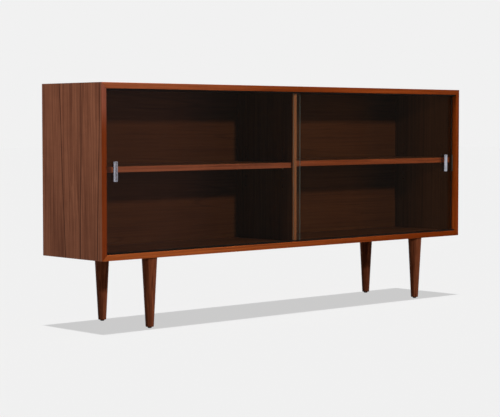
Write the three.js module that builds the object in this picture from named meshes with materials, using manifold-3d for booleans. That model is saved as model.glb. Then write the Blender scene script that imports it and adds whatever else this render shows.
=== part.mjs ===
// A low bookcase on four turned legs, closed by two glass doors that slide past each other.
// Sizes are in millimetres. +Z is up and the front faces -Y.
// The origin lies on the floor, under the middle of the case.

import * as THREE from 'three';
import { mergeVertices } from 'three/addons/utils/BufferGeometryUtils.js';
import Module from 'manifold-3d';

const wasm = await Module();
wasm.setup();

// Case of four veneered boards, mitred at the corners
const caseWidth = 1638;
const caseDepth = 305;
const caseHeight = 533;
const boardThickness = 18;
const arrisRadius = 1.2;

// Glue lines, seats and cuts
const seatGap = 0.3;
const cutOverrun = 2;

// Loose plywood splines across the mitres
const splineThickness = 3;
const splineWidth = 16;
const splineLength = 240;
const splineSeat = 9;

// Plywood back in a rabbet, and its slotted screws
const backThickness = 6;
const backSetback = 1.5;
const rabbetWidth = 9;
const screwLength = 18;
const screwShankDiameter = 3;
const screwHeadDiameter = 6.4;
const screwHeadRim = 0.5;
const screwPointLength = 3;
const screwSlotWidth = 0.9;
const screwSlotDepth = 1;
const longEdgeScrewShares = [-0.44, -0.15, 0.15, 0.44];
const shortEdgeScrewShares = [-0.25, 0.25];

// Upright divider, housed in the top and bottom boards
const dividerThickness = 18;
const dadoDepth = 6;

// Glass doors, their finger pulls and the felt bumpers that they close against
const glassThickness = 4.8;
const glassCornerRadius = 3;
const glassArris = 0.5;
const doorOverlap = 22;
const doorLiftSlack = 0.8;
const pullWidth = 16;
const pullHeight = 61;
const pullThickness = 2.8;
const pullCornerRadius = 2.5;
const pullArris = 0.4;
const pullRim = 1.7;
const pullDishDepth = 1.7;
const pullDishSlope = 1.3;
const leftPullInset = 36;
const rightPullInset = 41;
const bumperThickness = 3;
const bumperWidth = 6;
const bumperHeight = 61;
const bumperCornerRadius = 2.5;

// Door tracks, let into the top and bottom boards
const trackInset = 4.5;
const trackStand = 4.5;
const trackWall = 1.6;
const trackArris = 0.5;
const glassSlack = 0.5;
const pullPassGap = 0.5;
const lowerTrackSeat = 3.5;
const upperTrackSeat = 8.5;
const lowerGrooveDepth = 5;
const upperGrooveDepth = 11;

// Adjustable shelves, on spoon pins in columns of holes
const shelfThickness = 18;
const shelfFrontInset = 29;
const shelfBackGap = 1;
const leftShelfHeight = 272;
const rightShelfHeight = 277;
const pinDiameter = 6.2;
const pinDepth = 7;
const pinPointChamfer = 1.2;
const pinCollarDiameter = 9.4;
const pinCollarThickness = 1.2;
const spoonLength = 12;
const spoonWidth = 11;
const spoonNeckWidth = 7.4;
const spoonThickness = 2;
const pinHolePitch = 32;
const pinShelfInset = 42;
const holesBesidePin = 2;

// Turned legs, their hanger bolts and inserts, and nailed glides
const legLength = 215;
const legTopDiameter = 48;
const legFootDiameter = 25.5;
const legTopArris = 1;
const legFootArris = 2;
const legEndInset = 205;
const legSideInset = 32;
const boltDiameter = 8;
const boltLength = 44;
const boltChamfer = 1;
const insertDiameter = 12;
const insertLength = 13;
const insertFlangeDiameter = 16;
const insertFlangeThickness = 1.2;
const glideDiameter = 13;
const glideHeight = 4;
const glideEdgeRadius = 1.5;
const nailDiameter = 2.4;
const nailLength = 12;
const nailPointLength = 3;

// Numbers of facets
const arcFacets = 3;
const legFacets = 32;
const smallFacets = 16;
const holeFacets = 12;

const quarterTurn = Math.PI / 2;
const halfTurn = Math.PI;
const axisX = new THREE.Vector3(1, 0, 0);
const axisY = new THREE.Vector3(0, 1, 0);
const axisZ = new THREE.Vector3(0, 0, 1);

const finishes = {
  walnut: { color: '#7c4a2e', roughness: 0.45, metalness: 0 },
  darkWalnut: { color: '#5e3420', roughness: 0.5, metalness: 0 },
  plywood: { color: '#6a4126', roughness: 0.65, metalness: 0 },
  glass: { color: '#dfe9e6', roughness: 0.05, metalness: 0, transparent: true, opacity: 0.25 },
  aluminium: { color: '#b4b6ba', roughness: 0.35, metalness: 1 },
  felt: { color: '#5c5851', roughness: 0.95, metalness: 0 },
  trackPlastic: { color: '#3a302b', roughness: 0.5, metalness: 0 },
  brass: { color: '#b08d4c', roughness: 0.35, metalness: 1 },
  steel: { color: '#8d8f92', roughness: 0.4, metalness: 1 },
};

// Places that several pieces share, measured in the case's own frame:
// its origin is in the middle of the case's underside.
const front = -caseDepth / 2;
const back = caseDepth / 2;
const innerEnd = caseWidth / 2 - boardThickness;
const innerFloor = boardThickness;
const innerCeiling = caseHeight - boardThickness;
const rabbetFront = back - backSetback - backThickness - seatGap;
const backPanelFront = rabbetFront + seatGap;
const grooveWidth = glassThickness + 2 * glassSlack;
const trackLand = pullThickness + seatGap + pullPassGap - 2 * glassSlack;
const trackWidth = 2 * trackWall + 2 * grooveWidth + trackLand;
const trackMiddle = front + trackInset + trackWidth / 2;
const trackSeatFront = front + trackInset - seatGap;
const trackSeatBack = front + trackInset + trackWidth + seatGap;
const frontGrooveMiddle = trackMiddle - (grooveWidth + trackLand) / 2;
const rearGrooveMiddle = trackMiddle + (grooveWidth + trackLand) / 2;
const ends = [{ name: 'left', side: -1 }, { name: 'right', side: 1 }];

function part(name, geometry, finish) {
  const mesh = new THREE.Mesh(geometry, new THREE.MeshStandardMaterial(finishes[finish]));
  mesh.name = name;
  return mesh;
}

// Solids for joining and cutting
function solid(geometry) {
  const bare = geometry.clone();
  bare.deleteAttribute('normal');
  bare.deleteAttribute('uv');
  const welded = mergeVertices(bare);
  return new wasm.Manifold(new wasm.Mesh({
    numProp: 3,
    vertProperties: Float32Array.from(welded.attributes.position.array),
    triVerts: Uint32Array.from(welded.index.array),
  }));
}

function skin(body) {
  const mesh = body.getMesh();
  const geometry = new THREE.BufferGeometry();
  geometry.setAttribute('position', new THREE.BufferAttribute(mesh.vertProperties, mesh.numProp));
  geometry.setIndex(new THREE.BufferAttribute(mesh.triVerts, 1));
  geometry.computeVertexNormals();
  return geometry;
}

function cutAll(body, tools) {
  return tools.reduce((rest, tool) => rest.subtract(solid(tool)), body);
}

// Extrusions are centred on the origin along their own length
function extruded(outline, length, xTo, yTo, zTo) {
  const geometry = new THREE.ExtrudeGeometry(outline, {
    depth: length, bevelEnabled: false, curveSegments: arcFacets,
  });
  geometry.translate(0, 0, -length / 2);
  return geometry.applyMatrix4(new THREE.Matrix4().makeBasis(xTo, yTo, zTo));
}

// An outline drawn in Y and Z, run along X
function alongX(outline, length) {
  return extruded(outline, length, axisY, axisZ, axisX);
}

// An outline drawn in X and Z, run along Y
function alongY(outline, length) {
  return extruded(outline, length, axisX, axisZ, axisY.clone().negate());
}

// An outline drawn in X and Y, run along Z
function alongZ(outline, length) {
  return extruded(outline, length, axisX, axisY, axisZ);
}

function box(lowX, highX, lowY, highY, lowZ, highZ) {
  const geometry = new THREE.BoxGeometry(highX - lowX, highY - lowY, highZ - lowZ);
  return geometry.translate((lowX + highX) / 2, (lowY + highY) / 2, (lowZ + highZ) / 2);
}

// A profile of radius and height pairs, turned about Z
function turned(profile, facets) {
  const points = profile.map(([radius, height]) => new THREE.Vector2(radius, height));
  return new THREE.LatheGeometry(points, facets).rotateX(quarterTurn);
}

// A plain bore along Z, from one height to the other
function bore(diameter, lowZ, highZ) {
  const radius = diameter / 2;
  return turned([[0, lowZ], [radius, lowZ], [radius, highZ], [0, highZ]], holeFacets);
}

// A rounded corner that starts at the given angle and turns left through a quarter
function corner(outline, middleX, middleY, radius, start) {
  outline.absarc(middleX, middleY, radius, start, start + quarterTurn, false);
}

function roundedRectangle(width, height, radius) {
  const right = width / 2 - radius;
  const top = height / 2 - radius;
  const outline = new THREE.Shape();
  corner(outline, right, -top, radius, -quarterTurn);
  corner(outline, right, top, radius, 0);
  corner(outline, -right, top, radius, quarterTurn);
  corner(outline, -right, -top, radius, halfTurn);
  return outline;
}

// Case boards
// Each board is milled as one profile along its length, then mitred at both ends.
// Its own frame has the inner face at Z = 0, the outer face up, and its length along X.
function boardOutline(trackSeat) {
  const outline = new THREE.Shape();
  corner(outline, front + arrisRadius, arrisRadius, arrisRadius, halfTurn);
  if (trackSeat > 0) {
    outline.lineTo(trackSeatFront, 0);
    outline.lineTo(trackSeatFront, trackSeat);
    outline.lineTo(trackSeatBack, trackSeat);
    outline.lineTo(trackSeatBack, 0);
  }
  outline.lineTo(rabbetFront, 0);
  outline.lineTo(rabbetFront, rabbetWidth);
  outline.lineTo(back, rabbetWidth);
  corner(outline, back - arrisRadius, boardThickness - arrisRadius, arrisRadius, 0);
  corner(outline, front + arrisRadius, boardThickness - arrisRadius, arrisRadius, quarterTurn);
  return outline;
}

function mitreCut(length) {
  const outerCorner = length / 2 - seatGap * Math.SQRT1_2;
  const wedge = new THREE.Shape();
  wedge.moveTo(outerCorner - boardThickness - cutOverrun, -cutOverrun);
  wedge.lineTo(outerCorner + cutOverrun, -cutOverrun);
  wedge.lineTo(outerCorner + cutOverrun, boardThickness + cutOverrun);
  return alongY(wedge, caseDepth + 2 * cutOverrun);
}

// The spline lies square to the mitre, centred on it, nearer the inner corner
const splineOffset = splineSeat * Math.SQRT1_2;

function splineSlot(length) {
  const slot = new THREE.BoxGeometry(
    splineWidth + 2 * seatGap, splineLength + 2 * seatGap, splineThickness + 2 * seatGap,
  );
  return slot.rotateY(quarterTurn / 2).translate(length / 2 - boardThickness + splineOffset, 0, splineOffset);
}

function mitredBoard(length, trackSeat, cuts) {
  const endCuts = [mitreCut(length), splineSlot(length)];
  const otherEndCuts = endCuts.map((cut) => cut.clone().rotateZ(halfTurn));
  const blank = solid(alongX(boardOutline(trackSeat), length));
  return skin(cutAll(blank, [...endCuts, ...otherEndCuts, ...cuts]));
}

function dividerDado() {
  const halfWidth = dividerThickness / 2 + seatGap;
  return box(-halfWidth, halfWidth, trackSeatBack, rabbetFront, -cutOverrun, dadoDepth + seatGap);
}

// Back screws: the head sits flush with the back panel, and the point reaches into the case.
// They stand in a line down the middle of the rabbet.
const screwHeadPlane = back - backSetback;
const screwLine = rabbetWidth / 2;

function screwProfile(clearance, headRise) {
  const head = screwHeadDiameter / 2 + clearance;
  const shank = screwShankDiameter / 2 + clearance;
  const neck = screwHeadRim + head - shank;
  const tip = screwLength + clearance;
  return turned([
    [0, -tip], [shank, screwPointLength - tip], [shank, -neck],
    [head, -screwHeadRim], [head, headRise], [0, headRise],
  ], holeFacets);
}

// Turns a piece made along Z so that its top points to the back of the case
function towardsBack(geometry) {
  return geometry.rotateX(-quarterTurn);
}

function screwBore(x, z) {
  return towardsBack(screwProfile(seatGap, cutOverrun)).translate(x, screwHeadPlane, z);
}

function screwBoresAlong(length, shares) {
  return shares.map((share) => screwBore(share * length, screwLine));
}

// Leg sockets in the underside: a bore for the insert and a recess for its flange
const legPlaces = ends.flatMap(({ name, side }) => [
  { name: `front_${name}`, x: side * (caseWidth / 2 - legEndInset), y: front + legSideInset },
  { name: `rear_${name}`, x: side * (caseWidth / 2 - legEndInset), y: back - legSideInset },
]);

function legSocket({ x, y }) {
  const wide = insertFlangeDiameter / 2 + seatGap;
  const narrow = insertDiameter / 2 + seatGap;
  const shoulder = boardThickness - insertFlangeThickness - seatGap;
  const bottom = boardThickness - insertLength - seatGap;
  return turned([
    [0, bottom], [narrow, bottom], [narrow, shoulder], [wide, shoulder],
    [wide, boardThickness + cutOverrun], [0, boardThickness + cutOverrun],
  ], smallFacets).translate(x, y, 0);
}

// Shelf pins sit in columns of holes, with spare holes above and below
const shelves = [
  { name: 'left', side: -1, height: leftShelfHeight },
  { name: 'right', side: 1, height: rightShelfHeight },
];
const shelfFront = front + shelfFrontInset;
const shelfBack = backPanelFront - shelfBackGap;
const pinColumns = [
  { name: 'front', y: shelfFront + pinShelfInset },
  { name: 'rear', y: shelfBack - pinShelfInset },
];

function pinHeight(shelf) {
  return shelf.height - shelfThickness / 2 - seatGap - spoonThickness / 2;
}

function pinHoleHeights(shelf) {
  const holes = [...Array(2 * holesBesidePin + 1).keys()];
  return holes.map((hole) => pinHeight(shelf) + (hole - holesBesidePin) * pinHolePitch);
}

// Hole along X into a face at X = 0, on the side that towards points to
function pinHole(towards, y, z) {
  const hole = bore(pinDiameter + 2 * seatGap, -pinDepth - seatGap, cutOverrun);
  return hole.rotateY(-towards * quarterTurn).translate(0, y, z);
}

function topBoard() {
  const cuts = [dividerDado(), ...screwBoresAlong(caseWidth, longEdgeScrewShares)];
  const mesh = part('top_board', mitredBoard(caseWidth, upperTrackSeat + seatGap, cuts), 'walnut');
  mesh.position.z = innerCeiling;
  return mesh;
}

function bottomBoard() {
  const sockets = legPlaces.map(legSocket);
  const cuts = [dividerDado(), ...sockets, ...screwBoresAlong(caseWidth, longEdgeScrewShares)];
  const mesh = part('bottom_board', mitredBoard(caseWidth, lowerTrackSeat + seatGap, cuts), 'walnut');
  mesh.rotation.y = halfTurn;
  mesh.position.z = innerFloor;
  return mesh;
}

// A side board stands with its length upright; its own +X points down on the right side
function sideBoard(shelf) {
  const pinHoles = pinColumns.flatMap(({ y }) => pinHoleHeights(shelf).map((height) => {
    const alongBoard = -shelf.side * (height - caseHeight / 2);
    return bore(pinDiameter + 2 * seatGap, -cutOverrun, pinDepth + seatGap).translate(alongBoard, y, 0);
  }));
  const cuts = [...pinHoles, ...screwBoresAlong(caseHeight, shortEdgeScrewShares)];
  const mesh = part(`${shelf.name}_side_board`, mitredBoard(caseHeight, 0, cuts), 'walnut');
  mesh.rotation.y = shelf.side * quarterTurn;
  mesh.position.set(shelf.side * innerEnd, 0, caseHeight / 2);
  return mesh;
}

function mitreSplines() {
  const offsetX = innerEnd + splineOffset;
  return ends.flatMap(({ name, side }) => [
    { level: 'bottom', up: -1, z: innerFloor - splineOffset },
    { level: 'top', up: 1, z: innerCeiling + splineOffset },
  ].map(({ level, up, z }) => {
    const strip = new THREE.BoxGeometry(splineWidth, splineLength, splineThickness);
    const mesh = part(`${level}_${name}_spline`, strip, 'plywood');
    mesh.position.set(side * offsetX, 0, z);
    mesh.rotation.y = side * up * quarterTurn / 2;
    return mesh;
  }));
}

// Divider, with a softened front edge and pin holes from both faces
function divider() {
  const height = innerCeiling - innerFloor + 2 * dadoDepth;
  const dividerFront = trackSeatBack + seatGap;
  const dividerBack = rabbetFront - seatGap;
  const halfThickness = dividerThickness / 2;
  const outline = new THREE.Shape();
  corner(outline, -halfThickness + arrisRadius, dividerFront + arrisRadius, arrisRadius, halfTurn);
  corner(outline, halfThickness - arrisRadius, dividerFront + arrisRadius, arrisRadius, -quarterTurn);
  outline.lineTo(halfThickness, dividerBack);
  outline.lineTo(-halfThickness, dividerBack);
  const board = alongZ(outline, height).translate(0, 0, caseHeight / 2);
  const pinHoles = shelves.flatMap((shelf) => pinColumns.flatMap(({ y }) => pinHoleHeights(shelf).map(
    (z) => pinHole(-shelf.side, y, z).translate(shelf.side * halfThickness, 0, 0),
  )));
  return part('centre_divider', skin(cutAll(solid(board), pinHoles)), 'walnut');
}

function screwPlaces() {
  const low = innerFloor - screwLine;
  const high = innerCeiling + screwLine;
  const alongEdges = longEdgeScrewShares.flatMap((share) => [
    { x: share * caseWidth, z: low }, { x: share * caseWidth, z: high },
  ]);
  const upEnds = shortEdgeScrewShares.flatMap((share) => ends.map(({ side }) => (
    { x: side * (innerEnd + screwLine), z: caseHeight / 2 + share * caseHeight }
  )));
  return [...alongEdges, ...upEnds];
}

function backPanel() {
  const width = 2 * (innerEnd + rabbetWidth - seatGap);
  const height = innerCeiling - innerFloor + 2 * (rabbetWidth - seatGap);
  const sheet = solid(box(
    -width / 2, width / 2, backPanelFront, backPanelFront + backThickness,
    (caseHeight - height) / 2, (caseHeight + height) / 2,
  ));
  const bores = screwPlaces().map(({ x, z }) => screwBore(x, z));
  return part('back_panel', skin(cutAll(sheet, bores)), 'plywood');
}

function backScrews() {
  const halfWidth = screwSlotWidth / 2;
  const slot = box(
    -screwHeadDiameter, screwHeadDiameter, -halfWidth, halfWidth, -screwSlotDepth, cutOverrun,
  );
  const shape = towardsBack(skin(solid(screwProfile(0, 0)).subtract(solid(slot))));
  return screwPlaces().map(({ x, z }, index) => {
    const mesh = part(`back_screw_${String(index + 1).padStart(2, '0')}`, shape, 'steel');
    mesh.position.set(x, screwHeadPlane, z);
    return mesh;
  });
}

// Tracks: a strip with two grooves, drawn with its grooves opening upwards from Z = 0
function trackOutline(seat, grooveDepth) {
  const half = trackWidth / 2;
  const outline = new THREE.Shape();
  outline.moveTo(-half, -seat - trackStand);
  outline.lineTo(half, -seat - trackStand);
  outline.lineTo(half, -trackArris);
  outline.lineTo(half - trackArris, 0);
  [1, -1].forEach((side) => {
    const middle = side * (grooveWidth + trackLand) / 2;
    outline.lineTo(middle + grooveWidth / 2, 0);
    outline.lineTo(middle + grooveWidth / 2, -grooveDepth);
    outline.lineTo(middle - grooveWidth / 2, -grooveDepth);
    outline.lineTo(middle - grooveWidth / 2, 0);
  });
  outline.lineTo(-half + trackArris, 0);
  outline.lineTo(-half, -trackArris);
  return outline;
}

function tracks() {
  const length = 2 * (innerEnd - seatGap);
  const lowerStrip = alongX(trackOutline(lowerTrackSeat, lowerGrooveDepth), length);
  const lower = part('lower_track', lowerStrip, 'trackPlastic');
  lower.position.set(0, trackMiddle, innerFloor + trackStand);
  const upperStrip = alongX(trackOutline(upperTrackSeat, upperGrooveDepth), length);
  const upper = part('upper_track', upperStrip, 'trackPlastic');
  upper.rotation.x = halfTurn;
  upper.position.set(0, trackMiddle, innerCeiling - trackStand);
  return [lower, upper];
}

// Finger pull: a dished plate, drawn in X and Z with its face towards -Y and its back at Y = 0
function pullPlate() {
  const innerCorner = pullCornerRadius - pullArris;
  const plate = new THREE.ExtrudeGeometry(
    roundedRectangle(pullWidth - 2 * pullArris, pullHeight - 2 * pullArris, innerCorner), {
      depth: pullThickness, bevelThickness: pullArris, bevelSize: pullArris,
      bevelSegments: 1, curveSegments: arcFacets,
    },
  );
  const backCut = box(-pullWidth, pullWidth, -pullHeight, pullHeight, -pullThickness, 0);
  const faceCut = backCut.clone().translate(0, 0, 2 * pullThickness);
  const floorWidth = pullWidth - 2 * (pullRim + pullDishSlope);
  const floorHeight = pullHeight - 2 * (pullRim + pullDishSlope);
  const dish = new THREE.ExtrudeGeometry(roundedRectangle(floorWidth, floorHeight, innerCorner), {
    depth: pullThickness, bevelThickness: pullDishDepth, bevelSize: pullDishSlope,
    bevelSegments: arcFacets, curveSegments: arcFacets,
  }).translate(0, 0, pullThickness);
  return skin(cutAll(solid(plate), [backCut, faceCut, dish])).rotateX(quarterTurn);
}

// A door hangs together as one group: the pane and the pull stuck to its face
const doorWidth = innerEnd - bumperThickness - seatGap + doorOverlap / 2;
const doorBottom = innerFloor + trackStand - lowerGrooveDepth + seatGap;
const doorTop = innerCeiling - trackStand + upperGrooveDepth - lowerGrooveDepth - doorLiftSlack;

function glassPane() {
  const height = doorTop - doorBottom;
  const outline = roundedRectangle(
    doorWidth - 2 * glassArris, height - 2 * glassArris, glassCornerRadius - glassArris,
  );
  const pane = new THREE.ExtrudeGeometry(outline, {
    depth: glassThickness - 2 * glassArris, bevelThickness: glassArris, bevelSize: glassArris,
    bevelSegments: 1, curveSegments: arcFacets,
  });
  return pane.translate(0, 0, glassArris - glassThickness / 2).rotateX(quarterTurn);
}

function door({ name, side }, grooveMiddle, pullInset) {
  const group = new THREE.Group();
  const pane = part(`${name}_door_glass`, glassPane(), 'glass');
  pane.position.z = (doorBottom + doorTop) / 2;
  const pull = part(`${name}_door_pull`, pullPlate(), 'aluminium');
  const closedEdge = bumperThickness + seatGap;
  pull.position.set(
    side * (doorWidth / 2 + closedEdge - pullInset), -glassThickness / 2 - seatGap, caseHeight / 2,
  );
  group.add(pane, pull);
  group.position.set(side * (innerEnd - closedEdge - doorWidth / 2), grooveMiddle, 0);
  return group;
}

function bumper({ name, side }, grooveMiddle) {
  const outline = roundedRectangle(bumperWidth, bumperHeight, bumperCornerRadius);
  const pad = alongX(outline, bumperThickness - seatGap);
  const mesh = part(`${name}_door_bumper`, pad, 'felt');
  mesh.position.set(side * (innerEnd - (bumperThickness + seatGap) / 2), grooveMiddle, caseHeight / 2);
  return mesh;
}

// Shelves end clear of the pins' collars
const shelfEndGap = pinCollarThickness + seatGap;

function shelfBoard({ name, side, height }) {
  const length = innerEnd - dividerThickness / 2 - 2 * shelfEndGap;
  const halfThickness = shelfThickness / 2;
  const outline = new THREE.Shape();
  corner(outline, shelfFront + arrisRadius, -halfThickness + arrisRadius, arrisRadius, halfTurn);
  outline.lineTo(shelfBack, -halfThickness);
  outline.lineTo(shelfBack, halfThickness);
  corner(outline, shelfFront + arrisRadius, halfThickness - arrisRadius, arrisRadius, quarterTurn);
  const mesh = part(`${name}_shelf`, alongX(outline, length), 'walnut');
  mesh.position.set(side * (innerEnd + dividerThickness / 2) / 2, 0, height);
  return mesh;
}

// Spoon pin: a barrel and collar turned about X, joined to a flat spoon under the shelf
function spoonPin() {
  const barrelRadius = pinDiameter / 2;
  const collarRadius = pinCollarDiameter / 2;
  const barrel = turned([
    [0, -pinDepth], [barrelRadius - pinPointChamfer, -pinDepth],
    [barrelRadius, pinPointChamfer - pinDepth], [barrelRadius, seatGap],
    [collarRadius, seatGap], [collarRadius, pinCollarThickness], [0, pinCollarThickness],
  ], smallFacets).rotateY(quarterTurn);
  const rounded = spoonWidth / 2;
  const outline = new THREE.Shape();
  outline.moveTo(seatGap, -spoonNeckWidth / 2);
  outline.lineTo(spoonLength - rounded, -rounded);
  outline.absarc(spoonLength - rounded, 0, rounded, -quarterTurn, quarterTurn, false);
  outline.lineTo(seatGap, spoonNeckWidth / 2);
  return skin(solid(barrel).add(solid(alongZ(outline, spoonThickness))));
}

function shelfPins(shelf) {
  const faces = [
    { name: 'end', x: innerEnd, towards: -1 },
    { name: 'divider', x: dividerThickness / 2, towards: 1 },
  ];
  return pinColumns.flatMap((column) => faces.map((face) => {
    const mesh = part(`${shelf.name}_shelf_${column.name}_${face.name}_pin`, spoonPin(), 'brass');
    mesh.rotation.z = shelf.side * face.towards > 0 ? 0 : halfTurn;
    mesh.position.set(shelf.side * face.x, column.y, pinHeight(shelf));
    return mesh;
  }));
}

// Legs are turned with the bolt hole in the top and the nail hole in the foot
function legTurning() {
  const boltBore = boltDiameter / 2 + seatGap;
  const boltBoreEnd = legLength - (boltLength - insertLength) - seatGap;
  const nailBore = nailDiameter / 2 + seatGap;
  const foot = legFootDiameter / 2;
  const top = legTopDiameter / 2;
  return skin(solid(turned([
    [0, nailLength + seatGap], [nailBore, nailLength + seatGap], [nailBore, 0], [foot - legFootArris, 0],
    [foot, legFootArris], [top, legLength - seatGap - legTopArris], [top - legTopArris, legLength - seatGap],
    [boltBore, legLength - seatGap], [boltBore, boltBoreEnd], [0, boltBoreEnd],
  ], legFacets)));
}

function hangerBolt() {
  const radius = boltDiameter / 2;
  return skin(solid(turned([
    [0, -boltLength], [radius - boltChamfer, -boltLength], [radius, boltChamfer - boltLength],
    [radius, -boltChamfer], [radius - boltChamfer, 0], [0, 0],
  ], smallFacets)));
}

function threadedInsert() {
  const inner = boltDiameter / 2 + seatGap;
  const outer = insertDiameter / 2;
  const flange = insertFlangeDiameter / 2;
  return skin(solid(turned([
    [inner, 0], [flange, 0], [flange, insertFlangeThickness], [outer, insertFlangeThickness],
    [outer, insertLength], [inner, insertLength], [inner, 0],
  ], smallFacets)));
}

function nailedGlide() {
  const radius = glideDiameter / 2;
  const nail = nailDiameter / 2;
  const top = glideHeight - seatGap;
  return skin(solid(turned([
    [0, 0], [radius - glideEdgeRadius, 0], [radius, glideEdgeRadius], [radius, top], [nail, top],
    [nail, glideHeight + nailLength - nailPointLength], [0, glideHeight + nailLength],
  ], smallFacets)));
}

function legSet({ name, x, y }) {
  const group = new THREE.Group();
  const leg = part(`${name}_leg`, legTurning(), 'darkWalnut');
  leg.position.z = glideHeight;
  const insert = part(`${name}_leg_insert`, threadedInsert(), 'steel');
  insert.position.z = glideHeight + legLength;
  const bolt = part(`${name}_leg_bolt`, hangerBolt(), 'steel');
  bolt.position.z = glideHeight + legLength + insertLength;
  const glide = part(`${name}_glide`, nailedGlide(), 'trackPlastic');
  group.add(leg, insert, bolt, glide);
  group.position.set(x, y, 0);
  return group;
}

// The whole bookcase
const carcase = new THREE.Group();
carcase.position.z = glideHeight + legLength;
carcase.add(topBoard(), bottomBoard(), ...shelves.map(sideBoard), ...mitreSplines());
carcase.add(divider(), backPanel(), ...backScrews(), ...tracks());
carcase.add(...shelves.map(shelfBoard), ...shelves.flatMap(shelfPins));
carcase.add(door(ends[0], frontGrooveMiddle, leftPullInset));
carcase.add(door(ends[1], rearGrooveMiddle, rightPullInset));
carcase.add(bumper(ends[0], frontGrooveMiddle), bumper(ends[1], rearGrooveMiddle));

const group = new THREE.Group();
group.add(carcase, ...legPlaces.map(legSet));

export default group;
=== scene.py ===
import math

import bmesh
import bpy
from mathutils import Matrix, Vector


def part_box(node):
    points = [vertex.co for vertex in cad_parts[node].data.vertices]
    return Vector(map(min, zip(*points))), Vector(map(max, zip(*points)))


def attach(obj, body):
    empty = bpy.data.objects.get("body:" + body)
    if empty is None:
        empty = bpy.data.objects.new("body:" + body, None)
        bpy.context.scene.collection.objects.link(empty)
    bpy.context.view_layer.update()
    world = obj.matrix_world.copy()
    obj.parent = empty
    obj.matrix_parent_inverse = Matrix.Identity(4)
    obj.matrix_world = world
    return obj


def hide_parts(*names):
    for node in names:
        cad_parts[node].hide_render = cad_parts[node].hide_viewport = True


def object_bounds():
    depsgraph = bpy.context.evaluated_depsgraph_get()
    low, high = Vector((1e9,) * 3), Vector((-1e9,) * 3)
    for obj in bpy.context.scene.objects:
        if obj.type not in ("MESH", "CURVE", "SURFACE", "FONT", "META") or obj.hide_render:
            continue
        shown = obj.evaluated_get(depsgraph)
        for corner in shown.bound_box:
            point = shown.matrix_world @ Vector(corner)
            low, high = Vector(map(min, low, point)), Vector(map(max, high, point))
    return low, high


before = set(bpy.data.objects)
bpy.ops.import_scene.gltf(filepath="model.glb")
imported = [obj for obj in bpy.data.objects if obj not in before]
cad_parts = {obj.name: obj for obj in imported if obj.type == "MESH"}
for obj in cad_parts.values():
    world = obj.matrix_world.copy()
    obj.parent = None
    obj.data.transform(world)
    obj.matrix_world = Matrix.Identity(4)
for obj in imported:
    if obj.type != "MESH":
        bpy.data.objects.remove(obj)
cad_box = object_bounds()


# Case boards
# Four boards of veneered blockboard, milled with their rabbets and track seats, mitred and glued.
# The veneer is sliced walnut with its grain along each board, and a solid lipping covers each front edge.
# All of it is rubbed with oil to a satin finish.
# Inside the case the veneer is painted much darker, as painted shade, and the reveals are painted brighter low
# down, as painted light.

case_low, case_high = (Vector(corner) for corner in cad_box)
room_low = Vector((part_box("left_side_board")[1][0], case_low.y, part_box("bottom_board")[1][2]))
room_high = Vector((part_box("right_side_board")[0][0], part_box("back_panel")[0][1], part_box("top_board")[0][2]))
lipping_width = 0.0015
lipping_blur = 0.0003
reveal_depth = 0.0165
hole_shade_depth = 0.0080
face_slack = 0.0002
grain_relief = 0.0003
figure_sway = 0.035
line_waver = 0.008
line_core_share = 0.2
ring_steps = 16.0
vein_steps = 9.0
vein_reach = 0.035
pore_range = (0.60, 0.72)
wood_spread = 0.12
lipping_spread = 0.18
vein_share = 0.45
pore_share = 0.30
pore_pit_share = 0.6
dark_shares = (0.52, 0.48, 0.50)
light_shares = (1.45, 1.55, 1.55)
vein_shares = (0.30, 0.28, 0.32)
seed_shares = (1.0, 0.37, 0.71)
painted_shade_reach = 0.3
wood_roughness = 0.60
tone_polish = 0.20
oil_shine = 0.06
oil_tint = (1.0, 0.60, 0.36)
grain_strength = 0.25
black = (0.0, 0.0, 0.0)


def add(tree, kind, inputs=None, **settings):
    """Adds a node to a tree. Each input is a plain value or another node's output."""
    node = tree.nodes.new(kind)
    for name, value in settings.items():
        setattr(node, name, value)
    for key, value in (inputs or {}).items():
        if isinstance(value, bpy.types.NodeSocket):
            tree.links.new(value, node.inputs[key])
        else:
            node.inputs[key].default_value = value
    return node


def calc(tree, operation, *values):
    return add(tree, "ShaderNodeMath", dict(enumerate(values)), operation=operation).outputs[0]


def blend(tree, value, low, high):
    """A smooth step from 0, where the value is low, to 1, where it is high."""
    inputs = {"Value": value, "From Min": low, "From Max": high}
    return add(tree, "ShaderNodeMapRange", inputs, interpolation_type="SMOOTHSTEP").outputs[0]


def opaque(colour):
    return (*colour, 1.0)


def tint(tree, factor, first, second):
    """Mixes two colours by a factor."""
    inputs = {0: factor, 6: first, 7: second}
    return add(tree, "ShaderNodeMix", inputs, data_type="RGBA").outputs[2]


def cloud(tree, place, cells, detail=2.0, roughness=0.5):
    """Soft noise with so many cells a metre along X, Y and Z."""
    spread = add(tree, "ShaderNodeVectorMath", {0: place, 1: cells}, operation="MULTIPLY").outputs[0]
    inputs = {"Vector": spread, "Scale": 1.0, "Detail": detail, "Roughness": roughness}
    return add(tree, "ShaderNodeTexNoise", inputs).outputs[0]


def finish(name):
    """A new material, with its tree, its shader and the places on the piece in metres."""
    material = bpy.data.materials.new(name)
    material.use_nodes = True
    tree = material.node_tree
    place = add(tree, "ShaderNodeTexCoord").outputs["Object"]
    return material, tree, tree.nodes["Principled BSDF"], place


def surface(tree, shader, colour, roughness, relief=None, strength=0.0, depth=0.0):
    """Gives a shader its colour and roughness, and a relief of the given depth in metres."""
    tree.links.new(colour, shader.inputs["Base Color"])
    tree.links.new(roughness, shader.inputs["Roughness"])
    if relief is not None:
        bump = add(tree, "ShaderNodeBump", {"Strength": strength, "Distance": depth, "Height": relief})
        tree.links.new(bump.outputs[0], shader.inputs["Normal"])


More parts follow.
